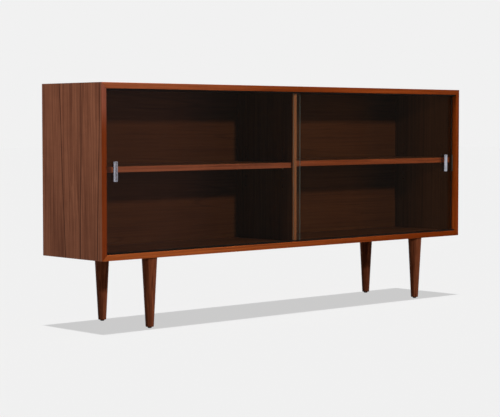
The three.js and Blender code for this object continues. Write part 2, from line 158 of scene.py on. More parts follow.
def walnut_figure():
    """The figure of sliced walnut, as a node group. Its grain runs along X, and places are in metres."""
    tree = bpy.data.node_groups.new("walnut_figure", "ShaderNodeTree")
    tree.interface.new_socket("Place", in_out="INPUT", socket_type="NodeSocketVector")
    for name in ("Tone", "Vein", "Pore"):
        tree.interface.new_socket(name, in_out="OUTPUT", socket_type="NodeSocketFloat")
    place = tree.nodes.new("NodeGroupInput").outputs["Place"]
    drift = cloud(tree, place, (1.3, 6.0, 6.0), detail=3.0)
    sway = calc(tree, "MULTIPLY", calc(tree, "SUBTRACT", drift, 0.5), figure_sway)
    shift = add(tree, "ShaderNodeCombineXYZ", {"Y": sway, "Z": sway}).outputs[0]
    waved = add(tree, "ShaderNodeVectorMath", {0: place, 1: shift}, operation="ADD").outputs[0]
    bands = cloud(tree, waved, (0.8, 34.0, 34.0), detail=3.0, roughness=0.55)
    streaks = cloud(tree, waved, (2.2, 210.0, 210.0), detail=3.0, roughness=0.6)
    fibres = cloud(tree, waved, (14.0, 1500.0, 1500.0))
    mottle = cloud(tree, place, (34.0, 16.0, 16.0))
    growth = cloud(tree, waved, (0.35, 5.0, 5.0), detail=1.0)
    rings = calc(tree, "PINGPONG", calc(tree, "MULTIPLY", growth, ring_steps), 1.0)
    tone = 0.0
    for part, share in ((bands, 0.20), (streaks, 0.54), (rings, 0.06), (mottle, 0.06), (fibres, 0.14)):
        tone = calc(tree, "MULTIPLY_ADD", part, share, tone)
    veins = calc(tree, "PINGPONG", calc(tree, "MULTIPLY", growth, vein_steps), 0.5)
    pores = cloud(tree, waved, (75.0, 2600.0, 2600.0), detail=1.0)
    leave = tree.nodes.new("NodeGroupOutput")
    tree.links.new(tone, leave.inputs["Tone"])
    tree.links.new(blend(tree, veins, vein_reach, 0.0), leave.inputs["Vein"])
    tree.links.new(blend(tree, pores, *pore_range), leave.inputs["Pore"])
    return tree


figure = walnut_figure()


def scaled(colour, shares):
    """A colour times a share for each of red, green and blue."""
    return [part * share for part, share in zip(colour, shares)]


def shade_ramp(tree, tone, colour, spread=wood_spread):
    """Shades a wood's middling colour from dark to light by its tone. A wide spread is a quiet figure."""
    node = add(tree, "ShaderNodeValToRGB", {"Fac": tone})
    stops = node.color_ramp.elements
    stops[0].position, stops[0].color = 0.5 - spread, opaque(scaled(colour, dark_shares))
    stops[1].position, stops[1].color = 0.5 + spread, opaque(scaled(colour, light_shares))
    middle = stops.new(0.50)
    middle.color = opaque(colour)
    return node.outputs["Color"]


def growth_line(tree, across, along, place, lean, width):
    """A dark line of late growth that crosses the place where along is 0, and leans as it rises."""
    rise = add(tree, "ShaderNodeCombineXYZ", {"X": along, "Y": place}).outputs[0]
    waver = calc(tree, "SUBTRACT", cloud(tree, rise, (3.5, 9.0, 1.0)), 0.5)
    centre = calc(tree, "MULTIPLY_ADD", along, lean, place)
    centre = calc(tree, "MULTIPLY_ADD", waver, line_waver, centre)
    away = calc(tree, "ABSOLUTE", calc(tree, "SUBTRACT", across, centre))
    return blend(tree, away, width, width * line_core_share)


def within(tree, axes, low, high):
    """1 between two corners, with the faces on the corners counted in."""
    inside = 1.0
    for axis, first, last in zip("XYZ", low, high):
        inside = calc(tree, "MINIMUM", inside, calc(tree, "GREATER_THAN", axes[axis], first - face_slack))
        inside = calc(tree, "MINIMUM", inside, calc(tree, "LESS_THAN", axes[axis], last + face_slack))
    return inside


def walnut(
    name, grain, seed, colour, spread=wood_spread, veins=vein_share, lines=(), front=None, lipping=None,
    inner=None, right_shade_keep=1.0, shine=oil_shine,
):
    """Oiled walnut whose grain runs along the given axis.

    Lines are (place, lean, width, strength). Lipping is one colour, another, and where along the grain the
    one turns into the other. Inner is the same for the reveal before the doors, then the colour of the
    veneer behind them. The reveal is painted brighter low down than high up, as painted light, and the
    veneer behind the doors and in the pin holes is painted dark, as painted shade. The share after it is
    how bright the right end of the case is painted beside its left end: painted shade.
    """
    material, tree, shader, place = finish(name)
    axes = add(tree, "ShaderNodeSeparateXYZ", {0: place}).outputs
    order = {"X": "XYZ", "Z": "ZYX"}[grain]
    laid = add(tree, "ShaderNodeCombineXYZ", dict(enumerate(axes[letter] for letter in order))).outputs[0]
    shift = tuple(seed * share for share in seed_shares)
    moved = add(tree, "ShaderNodeVectorMath", {0: laid, 1: shift}, operation="ADD").outputs[0]
    figured = add(tree, "ShaderNodeGroup", node_tree=figure)
    tree.links.new(moved, figured.inputs["Place"])
    tone = figured.outputs["Tone"]
    darkest = opaque(scaled(colour, vein_shares))
    colour = shade_ramp(tree, tone, colour, spread)
    vein = calc(tree, "MULTIPLY", figured.outputs["Vein"], veins)
    for line_place, lean, width, strength in lines:
        line = growth_line(tree, axes["Y"], axes["Z"], line_place, lean, width)
        vein = calc(tree, "MAXIMUM", vein, calc(tree, "MULTIPLY", line, strength))
    colour = tint(tree, vein, colour, darkest)
    if inner:
        reveal, room = inner
        # Painted shade: the faces inside the case and the pin holes bored into them take the dark inside colour.
        bored = Vector((hole_shade_depth, 0.0, hole_shade_depth))
        shaded_walls = within(tree, axes, room_low - bored, room_high + bored)
        colour = tint(tree, shaded_walls, colour, shade_ramp(tree, tone, room))
        reveal_end = Vector((room_high.x, case_low.y + reveal_depth, room_high.z))
        # Painted light: the reveal before the doors is brighter low down than high up.
        upward_painted_shade = blend(tree, axes["Z"], *reveal[2:])
        strip = tint(tree, upward_painted_shade, *(shade_ramp(tree, tone, shade) for shade in reveal[:2]))
        colour = tint(tree, within(tree, axes, room_low, reveal_end), colour, strip)
    if lipping:
        edge = front + lipping_width
        inside = blend(tree, axes["Y"], edge, edge - lipping_blur)
        along = blend(tree, axes[grain], *lipping[2:])
        shades = (shade_ramp(tree, tone, shade, lipping_spread) for shade in lipping[:2])
        strip = tint(tree, along, *shades)
        colour = tint(tree, inside, colour, strip)
    # Painted shade: the colour darkens towards the right end of the case.
    if right_shade_keep < 1.0:
        right_shade = calc(tree, "MULTIPLY", blend(tree, axes["X"], -painted_shade_reach, painted_shade_reach), 1.0 - right_shade_keep)
        colour = tint(tree, right_shade, colour, opaque(black))
    pore = figured.outputs["Pore"]
    colour = tint(tree, calc(tree, "MULTIPLY", pore, pore_share), colour, darkest)
    roughness = calc(tree, "MULTIPLY_ADD", tone, -tone_polish, wood_roughness)
    relief = calc(tree, "MULTIPLY_ADD", pore, -pore_pit_share, tone)
    surface(tree, shader, colour, roughness, relief, strength=grain_strength, depth=grain_relief)
    shader.inputs["Specular IOR Level"].default_value = shine
    shader.inputs["Specular Tint"].default_value = opaque(oil_tint)
    return material


def dress(node, material):
    """Gives a carried-over piece its finish."""
    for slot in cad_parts[node].material_slots:
        slot.material = material


veneer_colour = (0.223, 0.0795, 0.0425)
# The top lipping's pale left end is partly the wood's own tone and partly a painted highlight.
top_lipping_and_highlight = ((0.360, 0.091, 0.033), (0.210, 0.036, 0.0052), -0.76, 0.00)
bottom_lipping = ((0.398, 0.091, 0.021), (0.168, 0.023, 0.0010), case_low.x, case_high.x)
left_lipping = ((0.180, 0.030, 0.0062), (0.268, 0.075, 0.042), 0.59, 0.71)
right_lipping = ((0.205, 0.032, 0.0030), (0.176, 0.028, 0.0030), 0.40, 0.60)
# The reveals are painted brighter below the middle of the case than above it: painted light.
reveal_colours_with_painted_light = ((0.335, 0.060, 0.0078), (0.255, 0.044, 0.0050), 0.30, 0.50)
# The veneer inside the case, on its walls, its floor and in the pin holes, is painted much darker than outside,
# from a little behind the front: painted shade.
shaded_room_colour = (0.048, 0.0150, 0.0053)
shaded_floor_colour = (0.088, 0.024, 0.0066)
side_lines = [
    (0.0225, 0.051, 0.0028, 1.00),
    (-0.0410, -0.012, 0.0036, 0.85),
    (-0.0473, 0.026, 0.0030, 0.45),
    (-0.0330, -0.036, 0.0030, 0.55),
    (-0.1190, -0.034, 0.0030, 1.00),
]
outer = {"colour": veneer_colour, "front": case_low.y, "inner": (reveal_colours_with_painted_light, shaded_room_colour)}
lowest = {**outer, "inner": (reveal_colours_with_painted_light, shaded_floor_colour)}
left_side = {"lipping": left_lipping, "spread": 0.14, "veins": 0.0, "lines": side_lines, **outer}
dress("left_side_board", walnut("walnut_left_side", "Z", 3.1, **left_side))
dress("right_side_board", walnut("walnut_right_side", "Z", 11.7, lipping=right_lipping, **outer))
dress("top_board", walnut("walnut_top", "X", 5.3, lipping=top_lipping_and_highlight, **outer))
dress("bottom_board", walnut("walnut_bottom", "X", 8.9, lipping=bottom_lipping, **lowest))


# Mitre splines
# Loose plywood splines, glued in slots across the four mitres and hidden in the closed joints.
# Three plies show on their long edges.

ply_thickness = 0.001
birch_shades = ((0.30, 0.19, 0.09), (0.42, 0.29, 0.15))
cross_ply_shade = (0.17, 0.09, 0.04)


def spline_plywood(name, across):
    """Bare plies laid across the given direction, with a fine fibre."""
    material, tree, shader, place = finish(name)
    inputs = {0: place, 1: across}
    level = add(tree, "ShaderNodeVectorMath", inputs, operation="DOT_PRODUCT").outputs["Value"]
    plies = calc(tree, "PINGPONG", calc(tree, "DIVIDE", level, ply_thickness), 1.0)
    fibre = cloud(tree, place, (300.0, 20.0, 300.0), detail=3.0)
    pale = tint(tree, fibre, *(opaque(shade) for shade in birch_shades))
    colour = tint(tree, blend(tree, plies, 0.42, 0.58), pale, opaque(cross_ply_shade))
    surface(tree, shader, colour, calc(tree, "MULTIPLY_ADD", fibre, 0.2, 0.6))
    return material


for slope, nodes in ((1, ("top_left", "bottom_right")), (-1, ("top_right", "bottom_left"))):
    across = (math.sqrt(0.5), 0.0, slope * math.sqrt(0.5))
    material = spline_plywood(f"spline_ply_{nodes[0]}", across)
    for node in nodes:
        dress(f"{node}_spline", material)


# Centre divider
# An upright board housed in the top and bottom boards. It is veneered with its grain upright, lipped at
# the front, and bored with two columns of shelf pin holes on each face.

divider_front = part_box("centre_divider")[0][1]
# The divider's and the shelves' faces are painted much darker than the case's outer veneer: painted shade inside
# the case.
shaded_inner_colour = (0.110, 0.033, 0.010)
divider_lipping = ((0.345, 0.095, 0.034), (0.370, 0.108, 0.042), 0.25, 0.60)
divider = {"front": divider_front, "lipping": divider_lipping, "spread": 0.17}
dress("centre_divider", walnut("walnut_divider", "Z", 14.2, shaded_inner_colour, **divider))


# Back panel
# A sheet of walnut plywood let into the rabbet of the four boards, its face veneer laid along the case.
# Its colour is painted much darker than the boards', as painted shade, and it is sealed thinly.

shaded_back_colour = (0.060, 0.0165, 0.0050)
back_veneer = walnut("back_veneer", "X", 21.5, shaded_back_colour, spread=0.22, veins=0.35, shine=0.05)
dress("back_panel", back_veneer)


# Back screws
# Twelve steel wood screws with countersunk slotted heads, driven flush through the back panel's edge.
# Each is turned from a rod, threaded to its point and slotted, and no two slots stop at the same angle.

screw_nodes = [f"back_screw_{number:02d}" for number in range(1, 13)]
screw_boxes = [[Vector(corner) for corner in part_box(node)] for node in screw_nodes]
screw_heads = [Vector(((low.x + high.x) / 2, high.y, (low.z + high.z) / 2)) for low, high in screw_boxes]
screw_length = screw_boxes[0][1].y - screw_boxes[0][0].y
screw_sizes = {
    "Head radius": 0.0032, "Slot width": 0.0009, "Slot depth": 0.0010, "Thread radius": 0.0015,
    "Length": screw_length,
}
screw_counts = {
    "Thread turns": 8, "Thread steps": 20, "Ridge sides": 4, "Length steps": 61, "Round steps": 28,
    "Slot seed": 12,
}
tip_outline = ((0.0, 0.02), (0.20, 0.40))
shank_outline = ((0.62, 0.40), (0.66, 0.47), (0.885, 0.47))
head_outline = ((0.985, 1.0), (1.0, 0.97))
thread_share = 0.5
thread_end_share = 0.38
thread_core_share = 0.87
thread_ridge_share = 0.26
cutter_share = 3.0
turned_crease = 35.0
stroke_share = 0.35
stroke_relief = 0.00002
metal_gloss_range = 0.16
steel_shades = ((0.28, 0.26, 0.23), (0.52, 0.50, 0.46))


def size_inputs(tree, sizes, kind):
    """Gives a tree a named input for each size."""
    for name in sizes:
        tree.interface.new_socket(name, in_out="INPUT", socket_type=kind)


def outlined(tree, along, outline):
    """The radius at each place along a turned piece, with straight lines between the outline's points."""
    node = add(tree, "ShaderNodeFloatCurve", {"Value": along})
    curve = node.mapping.curves[0]
    while len(curve.points) < len(outline):
        curve.points.new(0.5, 0.5)
    for point, spot in zip(curve.points, outline):
        point.location = spot
        point.handle_type = "VECTOR"
    node.mapping.update()
    return node.outputs[0]


def new_growth(name, sizes, counts):
    """A tree of geometry nodes that takes in places and sizes, and gives out geometry."""
    tree = bpy.data.node_groups.new(name, "GeometryNodeTree")
    tree.interface.new_socket("Geometry", in_out="OUTPUT", socket_type="NodeSocketGeometry")
    tree.interface.new_socket("Places", in_out="INPUT", socket_type="NodeSocketGeometry")
    size_inputs(tree, sizes, "NodeSocketFloat")
    size_inputs(tree, counts, "NodeSocketInt")
    return tree, tree.nodes.new("NodeGroupInput").outputs


def close_growth(tree, geometry, material):
    """Ends a tree in real geometry with its material."""
    real = add(tree, "GeometryNodeRealizeInstances", {0: geometry}).outputs[0]
    clad = add(tree, "GeometryNodeSetMaterial", {"Geometry": real, "Material": material}).outputs[0]
    leave = tree.nodes.new("NodeGroupOutput")
    tree.links.new(clad, leave.inputs["Geometry"])


def grow(name, tree, places, values):
    """Runs a tree on the places, and keeps what it makes as a plain mesh."""
    mesh = bpy.data.meshes.new(name)
    mesh.from_pydata([tuple(place) for place in places], [], [])
    piece = bpy.data.objects.new(name, mesh)
    bpy.context.scene.collection.objects.link(piece)
    modifier = piece.modifiers.new("growth", "NODES")
    modifier.node_group = tree
    for item in tree.interface.items_tree:
        if item.name in values:
            modifier[item.identifier] = values[item.name]
    made = bpy.data.meshes.new_from_object(piece.evaluated_get(bpy.context.evaluated_depsgraph_get()))
    piece.modifiers.remove(modifier)
    piece.data = made
    made.set_sharp_from_angle(angle=math.radians(turned_crease))
    return piece


def mingled(tree, first, second, share):
    """Mixes two patterns, with so large a share of the first."""
    return calc(tree, "MULTIPLY_ADD", first, share, calc(tree, "MULTIPLY", second, 1.0 - share))


def metal(name, shades, roughness, brushing=(900.0, 900.0, 900.0)):
    """Bare metal, brushed along the axis that has the fewest cells."""
    material, tree, shader, place = finish(name)
    strokes = cloud(tree, place, brushing, detail=3.0)
    tarnish = cloud(tree, place, (60.0, 60.0, 60.0), detail=3.0)
    mixed = mingled(tree, strokes, tarnish, stroke_share)
    colour = tint(tree, blend(tree, mixed, 0.35, 0.65), *(opaque(shade) for shade in shades))
    satin = calc(tree, "MULTIPLY_ADD", mixed, metal_gloss_range, roughness - metal_gloss_range / 2)
    surface(tree, shader, colour, satin, strokes, strength=0.4, depth=stroke_relief)
    shader.inputs["Metallic"].default_value = 1.0
    return material


def screw_growth(material):
    """The screws, each with its head at its place and its point ahead of it."""
    tree, given = new_growth("back_screw", screw_sizes, screw_counts)
    length, head, bite = given["Length"], given["Head radius"], given["Thread radius"]
    point = add(tree, "ShaderNodeCombineXYZ", {"Y": calc(tree, "MULTIPLY", length, -1.0)}).outputs[0]
    inputs = {"Start": point, "End": (0.0, 0.0, 0.0)}
    axis = add(tree, "GeometryNodeCurvePrimitiveLine", inputs).outputs[0]
    inputs = {"Curve": axis, "Count": given["Length steps"]}
    axis = add(tree, "GeometryNodeResampleCurve", inputs).outputs[0]
    along = add(tree, "GeometryNodeSplineParameter").outputs["Factor"]
    outline = outlined(tree, along, tip_outline + shank_outline + head_outline)
    radius = calc(tree, "MULTIPLY", outline, head)
    inputs = {"Resolution": given["Round steps"], "Radius": 1.0}
    ring = add(tree, "GeometryNodeCurvePrimitiveCircle", inputs).outputs[0]
    inputs = {"Curve": axis, "Profile Curve": ring, "Scale": radius, "Fill Caps": True}
    turned = add(tree, "GeometryNodeCurveToMesh", inputs).outputs[0]
    depth = calc(tree, "MULTIPLY", given["Slot depth"], 2.0)
    cutter = add(tree, "ShaderNodeCombineXYZ", {"X": calc(tree, "MULTIPLY", head, cutter_share), "Y": depth})
    tree.links.new(given["Slot width"], cutter.inputs["Z"])
    blade = add(tree, "GeometryNodeMeshCube", {"Size": cutter.outputs[0]}).outputs[0]
    inputs = {"Mesh 1": turned, "Mesh 2": blade}
    slotted = add(tree, "GeometryNodeMeshBoolean", inputs, operation="DIFFERENCE").outputs[0]
    core = calc(tree, "MULTIPLY", bite, thread_core_share)
    inputs = {"Resolution": given["Thread steps"], "Rotations": given["Thread turns"]}
    inputs |= {"Start Radius": core, "End Radius": core}
    inputs |= {"Height": calc(tree, "MULTIPLY", length, thread_share)}
    helix = add(tree, "GeometryNodeCurveSpiral", inputs).outputs[0]
    inputs = {"Resolution": given["Ridge sides"], "Radius": calc(tree, "MULTIPLY", bite, thread_ridge_share)}
    ridge = add(tree, "GeometryNodeCurvePrimitiveCircle", inputs).outputs[0]
    inputs = {"Curve": helix, "Profile Curve": ridge, "Fill Caps": True}
    thread = add(tree, "GeometryNodeCurveToMesh", inputs).outputs[0]
    start = add(tree, "ShaderNodeCombineXYZ", {"Y": calc(tree, "MULTIPLY", length, -thread_end_share)})
    inputs = {"Geometry": thread, "Translation": start.outputs[0], "Rotation": (math.radians(90), 0.0, 0.0)}
    thread = add(tree, "GeometryNodeTransform", inputs).outputs[0]
    whole = add(tree, "GeometryNodeJoinGeometry")
    tree.links.new(thread, whole.inputs[0])
    tree.links.new(slotted, whole.inputs[0])
    inputs = {2: 0.0, 3: math.pi, "Seed": given["Slot seed"]}
    turn = add(tree, "FunctionNodeRandomValue", inputs, data_type="FLOAT").outputs[1]
    turn = add(tree, "ShaderNodeCombineXYZ", {"Y": turn}).outputs[0]
    inputs = {"Points": given["Places"], "Instance": whole.outputs[0], "Rotation": turn}
    close_growth(tree, add(tree, "GeometryNodeInstanceOnPoints", inputs).outputs[0], material)
    return tree


screw_steel = metal("screw_steel", steel_shades, 0.38)
back_screws = grow("back_screws", screw_growth(screw_steel), screw_heads, screw_sizes | screw_counts)
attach(back_screws, "case")
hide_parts(*screw_nodes)


# Door tracks
# Two strips of dark plastic in seats in the bottom and top boards, each with two grooves for the glass.
# The lower grooves are shallow and the upper ones deep, so that a door lifts out.

speck_share = 0.4
speck_relief = 0.00005
plastic_gloss_range = 0.3
plastic_shine = 0.08
track_shades = ((0.007, 0.006, 0.005), (0.017, 0.013, 0.011))


def moulded(name, shades, roughness):
    """Moulded plastic with a fine texture and faint rubbing marks along the case."""
    material, tree, shader, place = finish(name)
    grain = cloud(tree, place, (1400.0, 1400.0, 1400.0))
    rubbing = cloud(tree, place, (12.0, 900.0, 900.0), detail=3.0)
    mixed = mingled(tree, grain, rubbing, speck_share)
    colour = tint(tree, blend(tree, mixed, 0.38, 0.66), *(opaque(shade) for shade in shades))
    satin = calc(tree, "MULTIPLY_ADD", mixed, plastic_gloss_range, roughness - plastic_gloss_range / 2)
    surface(tree, shader, colour, satin, grain, strength=0.3, depth=speck_relief)
    shader.inputs["Specular IOR Level"].default_value = plastic_shine
    return material


track_plastic = moulded("track_plastic", track_shades, 0.6)
dress("lower_track", track_plastic)
dress("upper_track", track_plastic)


# Shelves
# Two loose veneered boards, lipped at the front, with their grain along the case.
# They lie on spoon pins and can be set higher or lower.

shelf_lipping = ((0.295, 0.070, 0.030), (0.258, 0.049, 0.013), -0.2, 0.2)
# Their faces take the dark inside colour: painted shade.
for side, seed in (("left", 17.9), ("right", 26.4)):
    shelf = {"front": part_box(f"{side}_shelf")[0][1], "lipping": shelf_lipping}
    dress(f"{side}_shelf", walnut(f"walnut_{side}_shelf", "X", seed, shaded_inner_colour, **shelf))


# Shelf pins
# Eight spoon pins of brass: a round shank pushed into a hole, and a flat spoon that the shelf lies on.
# The brass has dulled a little.

dulled_brass_shades = ((0.20, 0.12, 0.04), (0.42, 0.28, 0.10))
pin_brass = metal("pin_brass", dulled_brass_shades, 0.42)
for shelf in ("left_shelf", "right_shelf"):
    for place in ("front_end", "front_divider", "rear_end", "rear_divider"):
        dress(f"{shelf}_{place}_pin", pin_brass)


# Glass doors
# Two frameless panes of float glass with polished edges, the left one in the front groove.
# Seen through they are clear, seen along the sheet they are green, and they mirror a little.

pane_clear = (0.965, 0.985, 0.972)
pane_depth = (0.62, 0.70, 0.64)
# The edges' green is the glass's own; their pale shades stand for light carried inside the pane: painted light.
lit_edge_shades = ((0.46, 0.50, 0.44), (0.67, 0.70, 0.63))
edge_roughness = 0.12
edge_turn = (0.80, 0.60)
head_on_shine = 0.04
white = (1.0, 1.0, 1.0)
near_edge_share = 0.58
# The right pane's far edge lets more light through than the left's, so that it shows less: painted shade, where
# the side board shades it.
far_edge_shares_with_shade = {"left": 0.64, "right": 0.94}


def float_glass(name, shaded_far_share):
    """Clear glass. An edge lets near_edge_share of the light through, or the given far share from inside the pane.
    """
    material, tree, polished, place = finish(name)
    ripple = cloud(tree, place, (40.0, 40.0, 9.0))
    shades = tint(tree, ripple, *(opaque(shade) for shade in lit_edge_shades))
    tree.links.new(shades, polished.inputs["Base Color"])
    polished.inputs["Roughness"].default_value = edge_roughness
    clear = add(tree, "ShaderNodeBsdfTransparent", {"Color": opaque(pane_clear)}).outputs[0]
    mirror = add(tree, "ShaderNodeBsdfGlossy", {"Color": opaque(white), "Roughness": 0.0}).outputs[0]
    slant = add(tree, "ShaderNodeLayerWeight", {"Blend": 0.5}).outputs["Facing"]
    steep = calc(tree, "POWER", slant, 5.0)
    shine = calc(tree, "MULTIPLY_ADD", steep, 1.0 - head_on_shine, head_on_shine)
    face = add(tree, "ShaderNodeMixShader", {0: shine, 1: clear, 2: mirror}).outputs[0]
    normal = add(tree, "ShaderNodeTexCoord").outputs["Normal"]
    facing = calc(tree, "ABSOLUTE", add(tree, "ShaderNodeSeparateXYZ", {0: normal}).outputs["Y"])
    edge = blend(tree, facing, *edge_turn)
    deep = add(tree, "ShaderNodeBsdfTransparent", {"Color": opaque(pane_depth)}).outputs[0]
    behind = add(tree, "ShaderNodeNewGeometry").outputs["Backfacing"]
    depth = calc(tree, "MULTIPLY_ADD", behind, shaded_far_share - near_edge_share, near_edge_share)
    rim = add(tree, "ShaderNodeMixShader", {0: depth, 1: polished.outputs[0], 2: deep}).outputs[0]
    whole = add(tree, "ShaderNodeMixShader", {0: edge, 1: face, 2: rim}).outputs[0]
    tree.links.new(whole, tree.nodes["Material Output"].inputs["Surface"])
    return material


for side, shaded_far_share in far_edge_shares_with_shade.items():
    dress(f"{side}_door_glass", float_glass(f"{side}_pane_glass", shaded_far_share))


# Door pulls
# Small plates of aluminium stuck to the outer face of each pane, scooped out for a fingertip.
# They are cast, brushed upright to a satin finish, and their arrises are eased.

pull_corner = 0.0025
pull_arris = 0.0004
pull_rim = 0.0017
pull_scoop = 0.0017
pull_crease = 40
least_corner = 0.0002
weld_reach = 0.000001
corner_steps = 8
arris_steps = 4
scoop_steps = 13
scoop_reach_share = 0.92
scoop_slope_share = 0.55
scoop_end_share = 0.45
aluminium_shades = ((0.33, 0.35, 0.41), (0.47, 0.49, 0.57))
upright_brushing = (2600.0, 2600.0, 70.0)


def rounded_ring(half_width, half_height, radius):
    """The points of a rounded rectangle round the origin, counterclockwise as seen from the front."""
    points = []
    for quarter, (side, end) in enumerate(((1, 1), (-1, 1), (-1, -1), (1, -1))):
        for step in range(corner_steps + 1):
            angle = math.radians(90 * (quarter + step / corner_steps))
            x = side * (half_width - radius) + radius * math.cos(angle)
            z = end * (half_height - radius) + radius * math.sin(angle)
            points.append((x, z))
    return points


def scoop_depth(inset, upright):
    """How deep the scoop is: a slope in from the rim, and a long hollow from end to end."""
    slope = 0.5 - 0.5 * math.cos(math.pi * min(1.0, inset))
    hollow = scoop_end_share + (1 - scoop_end_share) * math.cos(0.5 * math.pi * upright)
    return pull_scoop * slope * hollow


def pull_rings(low, high, half_width, half_height):
    """The plate's outline at its back, then round its arris, then down the slope of its scoop."""
    rings = [[(x, high.y, z) for x, z in rounded_ring(half_width, half_height, pull_corner)]]
    for step in range(arris_steps + 1):
        angle = math.radians(90 * step / arris_steps)
        inset = pull_arris * (1 - math.cos(angle))
        y = low.y + pull_arris * (1 - math.sin(angle))
        ring = rounded_ring(half_width - inset, half_height - inset, pull_corner - inset)
        rings.append([(x, y, z) for x, z in ring])
    reach = (half_width - pull_rim) * scoop_reach_share
    for step in range(scoop_steps + 1):
        inset = pull_rim + reach * step / scoop_steps
        corner = max(least_corner, pull_corner - inset)
        ring = rounded_ring(half_width - inset, half_height - inset, corner)
        share = step / scoop_steps / scoop_slope_share
        rings.append([(x, low.y + scoop_depth(share, z / half_height), z) for x, z in ring])
    return rings


def pull_plate(node, body, material):
    """A pull in one piece, cast in the place and to the size of its solid."""
    low, high = (Vector(corner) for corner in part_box(node))
    middle = (low + high) / 2
    rings = pull_rings(low, high, (high.x - low.x) / 2, (high.z - low.z) / 2)
    build = bmesh.new()
    rows = [[build.verts.new((middle.x + x, y, middle.z + z)) for x, y, z in ring] for ring in rings]
    for outer_row, inner_row in zip(rows, rows[1:]):
        for index in range(len(outer_row)):
            after = (index + 1) % len(outer_row)
            build.faces.new((outer_row[index], outer_row[after], inner_row[after], inner_row[index]))
    build.faces.new(rows[0][::-1])
    build.faces.new(rows[-1])
    bmesh.ops.remove_doubles(build, verts=build.verts, dist=weld_reach)
    bmesh.ops.recalc_face_normals(build, faces=build.faces)
    mesh = bpy.data.meshes.new(f"{node}_plate")
    build.to_mesh(mesh)
    build.free()
    mesh.shade_smooth()
    mesh.set_sharp_from_angle(angle=math.radians(pull_crease))
    mesh.materials.append(material)
    piece = bpy.data.objects.new(f"{node}_plate", mesh)
    bpy.context.scene.collection.objects.link(piece)
    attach(piece, body)
    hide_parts(node)
    return piece


satin_aluminium = metal("satin_aluminium", aluminium_shades, 0.26, upright_brushing)
left_pull = pull_plate("left_door_pull", "left_door", satin_aluminium)
right_pull = pull_plate("right_door_pull", "right_door", satin_aluminium)


# Door bumpers
# A strip of dark felt glued upright to each side board, where the edge of a closed door meets it.

felt_shades = ((0.020, 0.024, 0.018), (0.072, 0.080, 0.062))
fuzz_share = 0.6
felt_relief = 0.0003
felt_sheen = 0.3


def wool_felt():
    material, tree, shader, place = finish("wool_felt")
    fuzz = cloud(tree, place, (1800.0, 1800.0, 1800.0), detail=4.0, roughness=0.7)
    clumps = cloud(tree, place, (240.0, 240.0, 240.0))
    mixed = mingled(tree, fuzz, clumps, fuzz_share)
    colour = tint(tree, blend(tree, mixed, 0.35, 0.68), *(opaque(shade) for shade in felt_shades))
    matt = calc(tree, "MULTIPLY_ADD", fuzz, 0.1, 0.88)
    surface(tree, shader, colour, matt, mixed, strength=0.7, depth=felt_relief)
    shader.inputs["Sheen Weight"].default_value = felt_sheen
    return material


felt = wool_felt()
dress("left_door_bumper", felt)
dress("right_door_bumper", felt)


# Legs
# Four legs turned from solid walnut, straight tapered from the case to the foot, with eased arrises.
# The grain runs the length of each leg, and they are stained and oiled a little darker than the case.

leg_nodes = [f"{end}_{side}_leg" for end in ("front", "rear") for side in ("left", "right")]
leg_boxes = [[Vector(corner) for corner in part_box(node)] for node in leg_nodes]
leg_feet = [Vector(((low.x + high.x) / 2, (low.y + high.y) / 2, low.z)) for low, high in leg_boxes]
leg_reach = leg_boxes[0][1] - leg_boxes[0][0]
leg_sizes = {
    "Foot radius": 0.01275, "Foot arris": 0.0020, "Top arris": 0.0010, "Top radius": leg_reach.x / 2,
    "Length": leg_reach.z,
}
leg_counts = {"Length steps": 72, "Round steps": 96}
leg_colour = (0.195, 0.053, 0.0215)


def eased(tree, away, arris):
    """How much an arris takes off the radius at a distance from the end."""
    short = calc(tree, "MAXIMUM", calc(tree, "SUBTRACT", arris, away), 0.0)
    square = calc(tree, "MULTIPLY", arris, arris)
    chord = calc(tree, "SQRT", calc(tree, "SUBTRACT", square, calc(tree, "MULTIPLY", short, short)))
    return calc(tree, "SUBTRACT", arris, chord)


def leg_growth(material):
    """The legs, each with its foot at its place, and with its rings closer together near its ends."""
    tree, given = new_growth("turned_leg", leg_sizes, leg_counts)
    length = given["Length"]
    top = add(tree, "ShaderNodeCombineXYZ", {"Z": length}).outputs[0]
    axis = add(tree, "GeometryNodeCurvePrimitiveLine", {"Start": (0.0, 0.0, 0.0), "End": top}).outputs[0]
    inputs = {"Curve": axis, "Count": given["Length steps"]}
    axis = add(tree, "GeometryNodeResampleCurve", inputs).outputs[0]
    share = add(tree, "GeometryNodeSplineParameter").outputs["Factor"]
    wave = calc(tree, "COSINE", calc(tree, "MULTIPLY", share, math.pi))
    height = calc(tree, "MULTIPLY", calc(tree, "MULTIPLY_ADD", wave, -0.5, 0.5), length)
    spot = add(tree, "ShaderNodeCombineXYZ", {"Z": height}).outputs[0]
    axis = add(tree, "GeometryNodeSetPosition", {"Geometry": axis, "Position": spot}).outputs[0]
    spot = add(tree, "GeometryNodeInputPosition").outputs[0]
    height = add(tree, "ShaderNodeSeparateXYZ", {0: spot}).outputs["Z"]
    inputs = {"Value": height, "From Max": length}
    inputs |= {"To Min": given["Foot radius"], "To Max": given["Top radius"]}
    radius = add(tree, "ShaderNodeMapRange", inputs).outputs[0]
    radius = calc(tree, "SUBTRACT", radius, eased(tree, height, given["Foot arris"]))
    below_top = calc(tree, "SUBTRACT", length, height)
    radius = calc(tree, "SUBTRACT", radius, eased(tree, below_top, given["Top arris"]))
    inputs = {"Resolution": given["Round steps"], "Radius": 1.0}
    ring = add(tree, "GeometryNodeCurvePrimitiveCircle", inputs).outputs[0]
    inputs = {"Curve": axis, "Profile Curve": ring, "Scale": radius, "Fill Caps": True}
    leg = add(tree, "GeometryNodeCurveToMesh", inputs).outputs[0]
    inputs = {"Points": given["Places"], "Instance": leg}
    close_growth(tree, add(tree, "GeometryNodeInstanceOnPoints", inputs).outputs[0], material)
    return tree


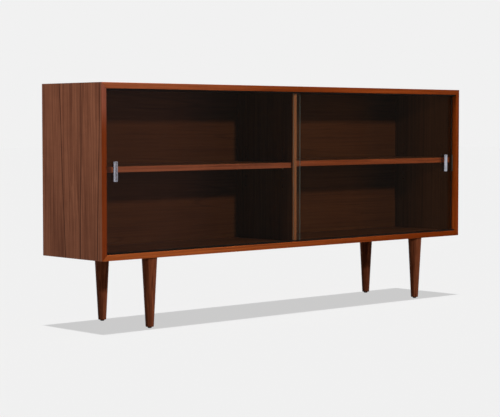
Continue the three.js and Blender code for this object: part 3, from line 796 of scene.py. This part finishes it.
# The right legs are painted darker than the left ones: painted shade.
leg_walnut = walnut("walnut_legs", "Z", 33.6, leg_colour, spread=0.09, veins=0.35, right_shade_keep=0.80)
legs = grow("turned_legs", leg_growth(leg_walnut), leg_feet, leg_sizes | leg_counts)
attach(legs, "case")
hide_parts(*leg_nodes)


# Leg bolts and inserts
# A steel hanger bolt is driven into the top of each leg, and its upper end stands proud of it.
# It screws into a threaded brass insert that is let into the bottom board.

bolt_shades = ((0.30, 0.29, 0.28), (0.56, 0.55, 0.53))
insert_shades = ((0.45, 0.30, 0.11), (0.70, 0.51, 0.22))
bolt_brushing = (1200.0, 1200.0, 300.0)
bolt_steel = metal("bolt_steel", bolt_shades, 0.35, bolt_brushing)
insert_brass = metal("insert_brass", insert_shades, 0.32)
for node in leg_nodes:
    dress(f"{node}_bolt", bolt_steel)
    dress(f"{node}_insert", insert_brass)


# Glides
# Moulded buttons of black plastic that the legs stand on.
# Each has its own nail, which is driven into the middle of the foot.

glide_shades = ((0.008, 0.007, 0.007), (0.018, 0.016, 0.015))
glide_plastic = moulded("glide_plastic", glide_shades, 0.5)
for node in leg_nodes:
    dress(node.replace("_leg", "_glide"), glide_plastic)


# Floor and backdrop
# A pale seamless floor and a backdrop of the same tone.
# What looks at the floor sees it at that tone, and it keeps the case's shadow.

backdrop_tone = opaque((0.88, 0.88, 0.88))
floor_bounce = opaque((0.20, 0.20, 0.20))
room_light = opaque((0.04, 0.04, 0.04))
shadow_depth = 0.335
floor_reach = 30.0


def flat_sheet(name, corners, material):
    mesh = bpy.data.meshes.new(name)
    mesh.from_pydata(corners, [], [(0, 1, 2, 3)])
    mesh.materials.append(material)
    sheet = bpy.data.objects.new(name, mesh)
    bpy.context.scene.collection.objects.link(sheet)
    return sheet


def seen_directly(tree):
    """1 for rays from the camera, from a mirror or through glass, and 0 for other light."""
    path = add(tree, "ShaderNodeLightPath").outputs
    seen = calc(tree, "MAXIMUM", path["Is Camera Ray"], path["Is Glossy Ray"])
    return calc(tree, "MAXIMUM", seen, path["Is Transmission Ray"])


def floor_paper():
    material, tree = finish("floor_paper")[:2]
    glow = add(tree, "ShaderNodeEmission", {"Color": backdrop_tone, "Strength": 1.0}).outputs[0]
    pale = add(tree, "ShaderNodeBsdfDiffuse", {"Color": backdrop_tone}).outputs[0]
    dull = add(tree, "ShaderNodeBsdfDiffuse", {"Color": floor_bounce}).outputs[0]
    shown = add(tree, "ShaderNodeMixShader", {0: shadow_depth, 1: glow, 2: pale}).outputs[0]
    whole = add(tree, "ShaderNodeMixShader", {0: seen_directly(tree), 1: dull, 2: shown}).outputs[0]
    tree.links.new(whole, tree.nodes["Material Output"].inputs["Surface"])
    return material


floor_signs = [(-1, -1), (1, -1), (1, 1), (-1, 1)]
floor_corners = [(x * floor_reach, y * floor_reach, 0.0) for x, y in floor_signs]
floor = flat_sheet("floor", floor_corners, floor_paper())

world = bpy.data.worlds.new("studio")
bpy.context.scene.world = world
world.use_nodes = True
sky = tint(world.node_tree, seen_directly(world.node_tree), room_light, backdrop_tone)
world.node_tree.links.new(sky, world.node_tree.nodes["Background"].inputs["Color"])


# Dark cloths
# Cloths round the case, out of the camera's sight, that the glass and the oiled wood mirror. One row
# hangs ahead of the doors, one cloth lies on the floor before them, and one hangs at the left.

rust, soot, brown = (0.132, 0.087, 0.079), (0.066, 0.056, 0.048), (0.170, 0.086, 0.054)
left_tone = (0.030, 0.030, 0.030)
cloth_place = -1.2
cloth_reach = 4.0
cloth_height = 1.2
cloth_seam = 1.1
cloth_lift = 0.002
laid_gap = 0.02
left_cloth_place = -2.3
left_cloth_front = -0.2
left_cloth_height = 2.0
rust_to_soot = (0.25, 0.75)
soot_to_brown = (1.62, 2.00)


def dark_cloth(name, corners, colour, far_colour=None, turn=(0.0, 1.0)):
    """A cloth that turns into the far colour between two places along X."""
    material, tree, _, place = finish(name)
    across = add(tree, "ShaderNodeSeparateXYZ", {0: place}).outputs["X"]
    dyed = tint(tree, blend(tree, across, *turn), opaque(colour), opaque(far_colour or colour))
    folds = calc(tree, "MULTIPLY_ADD", cloud(tree, place, (9.0, 9.0, 1.0)), 0.4, 0.8)
    glow = add(tree, "ShaderNodeEmission", {"Color": dyed, "Strength": folds}).outputs[0]
    tree.links.new(glow, tree.nodes["Material Output"].inputs["Surface"])
    cloth = flat_sheet(name, corners, material)
    cloth.visible_camera = False
    cloth.visible_diffuse = False
    cloth.visible_shadow = False
    cloth.visible_transmission = False


def hung(first, last, height):
    """The corners of a cloth that hangs to the floor from one place to another."""
    return [(*first, 0.0), (*last, 0.0), (*last, height), (*first, height)]


left_end, seam, right_end = ((x, cloth_place) for x in (-cloth_reach, cloth_seam, cloth_reach))
laid_edge = case_low.y - laid_gap
laid_corners = [left_end, right_end, (cloth_reach, laid_edge), (-cloth_reach, laid_edge)]
side_front, side_rear = ((left_cloth_place, y) for y in (left_cloth_front, cloth_reach))
dark_cloth("front_cloth", hung(left_end, seam, cloth_height), rust, soot, rust_to_soot)
dark_cloth("right_cloth", hung(seam, right_end, cloth_height), soot, brown, soot_to_brown)
dark_cloth("laid_cloth", [(*spot, cloth_lift) for spot in laid_corners], soot)
dark_cloth("left_cloth", hung(side_front, side_rear, left_cloth_height), left_tone)


# Lamps
# A small flash ahead, soft boxes at the left, at the right and behind, and one lamp straight above, which
# alone falls on the floor. Pale cards before the cloths light the door pulls, which alone mirror them,
# and a weak lamp at the left fills the legs alone.

above_power = 2.95
above_blur = 1.5
all_but_floor = bpy.data.collections.new("kept_off_the_floor")
all_but_floor.objects.link(floor)
all_but_floor.collection_objects[0].light_linking.link_state = "EXCLUDE"
only_pulls = bpy.data.collections.new("door_pulls")
for pull in (left_pull, right_pull):
    only_pulls.objects.link(pull)
only_legs = bpy.data.collections.new("turned_legs")
only_legs.objects.link(legs)


def lamp(name, place, target, size, power, height=None, lit=all_but_floor, mirrored=False):
    """A lamp that the camera doesn't see. It is square unless it has a height of its own."""
    data = bpy.data.lights.new(name, "AREA")
    data.shape = "RECTANGLE"
    data.size, data.size_y = size, height or size
    data.energy = power
    light = bpy.data.objects.new(name, data)
    light.location = place
    light.rotation_euler = (Vector(target) - Vector(place)).to_track_quat("-Z", "Y").to_euler()
    light.visible_camera = False
    light.visible_glossy = mirrored
    light.light_linking.receiver_collection = lit
    bpy.context.scene.collection.objects.link(light)


def pull_card(name, place, target, size, power, height):
    """A pale card that lights the door pulls and is mirrored by them."""
    lamp(name, place, target, size, power, height, lit=only_pulls, mirrored=True)


lamp("front_flash", place=(0.15, -3.65, 1.87), target=(0.0, 0.0, 0.5), size=0.20, power=78.0)
lamp("left_soft_box", place=(-2.6, -0.36, 2.8), target=(-0.8, 0.0, 0.5), size=0.5, power=70.0)
lamp("right_soft_box", place=(2.6, -3.2, 0.55), target=(0.0, 0.0, 0.45), size=1.5, power=36.0)
lamp("rear_soft_box", place=(2.4, 3.0, 1.7), target=(0.0, 0.1, 0.45), size=1.2, power=110.0)
pull_card("left_card", place=(-1.2, -1.1, 0.22), target=(-1.2, 0.0, 0.22), size=2.6, power=1.7, height=0.44)
pull_card("right_card", place=(1.8, -1.1, 0.6), target=(1.8, 0.0, 0.6), size=3.4, power=11.0, height=1.2)
pull_card("laid_card", place=(0.3, -0.62, 0.01), target=(0.3, -0.42, 0.71), size=6.0, power=6.4, height=0.85)
lamp("leg_fill", place=(-3.0, -0.3, 0.3), target=(0.0, 0.0, 0.1), size=0.6, power=5.0, lit=only_legs)
above = bpy.data.objects.new("above", bpy.data.lights.new("above", "SUN"))
above.data.energy = above_power
above.data.angle = math.radians(above_blur)
bpy.context.scene.collection.objects.link(above)


# Camera
# At the photograph's viewing angle, from the left front through a long lens.
# It stands a little above the middle of the case.

camera_place = (-3.6222, -3.8486, 0.6276)
camera_drop = 3.10
camera_roll = 0.01
camera_heading = -42.603
lens_length = 112.24
sensor_width = 36.0
camera = bpy.data.objects.new("camera", bpy.data.cameras.new("camera"))
camera.location = camera_place
camera.rotation_euler = [math.radians(angle) for angle in (90 - camera_drop, camera_roll, camera_heading)]
camera.data.lens = lens_length
camera.data.sensor_width = sensor_width
camera.data.sensor_fit = "HORIZONTAL"
bpy.context.scene.collection.objects.link(camera)
bpy.context.scene.camera = camera
bpy.context.scene.view_settings.view_transform = "Standard"
